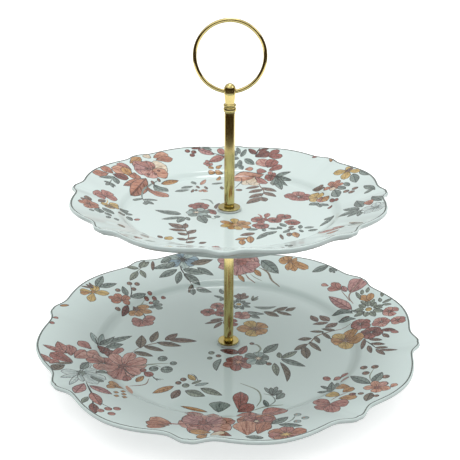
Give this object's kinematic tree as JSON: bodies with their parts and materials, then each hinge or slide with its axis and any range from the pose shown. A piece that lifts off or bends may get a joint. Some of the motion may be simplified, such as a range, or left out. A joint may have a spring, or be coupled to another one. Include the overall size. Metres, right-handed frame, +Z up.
{
  "type": "tiered cake stand",
  "caption": "Two-tier cake stand: scalloped floral porcelain plates on a slim brass stem that screws together, with a ring handle on top.",
  "frame": {"origin": "centre of the lower plate's foot ring on the surface the stand rests on", "axes": "+Z up along the stem, X in the plane of the ring handle, -Y towards whoever faces the open ring"},
  "size_m": [0.2662, 0.2662, 0.238],
  "materials": {
    "glazed_porcelain": "gloss",
    "brass": "polished",
    "zinc_steel": "satin",
    "clear_silicone": "satin"
  },
  "bodies": {
    "lower_tier": {"lower_plate": "glazed_porcelain"},
    "stem": {"bottom_screw": "zinc_steel", "bottom_washer": "zinc_steel", "bottom_gasket": "clear_silicone", "lower_top_gasket": "clear_silicone", "lower_rod_foot": "brass", "lower_rod": "brass", "lower_rod_bottom_bush": "zinc_steel", "lower_rod_top_bush": "zinc_steel", "support_washer": "brass", "middle_stud": "zinc_steel"},
    "upper_tier": {"upper_plate": "glazed_porcelain", "upper_bottom_gasket": "clear_silicone", "upper_top_gasket": "clear_silicone", "upper_rod_foot": "brass"},
    "upper_rod_carrier": {"upper_rod_bottom_bush": "zinc_steel"},
    "upper_rod": {"upper_rod": "brass", "upper_rod_top_bush": "zinc_steel"},
    "handle_carrier": {"finial_stud": "zinc_steel"},
    "handle": {"finial": "brass", "ring_handle": "brass"}
  },
  "joints": [
    {"name": "stem_swivel", "type": "hinge", "parent": "lower_tier", "child": "stem", "pos_m": [0, 0, 0.0093], "axis": [0, 0, 1], "continuous": true},
    {"name": "upper_tier_swivel", "type": "hinge", "parent": "stem", "child": "upper_tier", "pos_m": [0, 0, 0.1124], "axis": [0, 0, 1], "continuous": true},
    {"name": "upper_rod_rise", "type": "slide", "parent": "stem", "child": "upper_rod_carrier", "axis": [0, 0, 1], "range_m": [0, 0.007]},
    {"name": "upper_rod_unscrew", "type": "hinge", "parent": "upper_rod_carrier", "child": "upper_rod", "pos_m": [0, 0, 0.11535], "axis": [0, 0, 1], "range_deg": [0, 3605]},
    {"name": "handle_rise", "type": "slide", "parent": "upper_rod", "child": "handle_carrier", "axis": [0, 0, 1], "range_m": [0, 0.007]},
    {"name": "handle_unscrew", "type": "hinge", "parent": "handle_carrier", "child": "handle", "pos_m": [0, 0, 0.1792], "axis": [0, 0, 1], "range_deg": [0, 3605]}
  ],
  "couplings": [
    {"joint": "upper_rod_unscrew", "follows": "upper_rod_rise", "rad_per_m": 8976},
    {"joint": "handle_unscrew", "follows": "handle_rise", "rad_per_m": 8976}
  ]
}
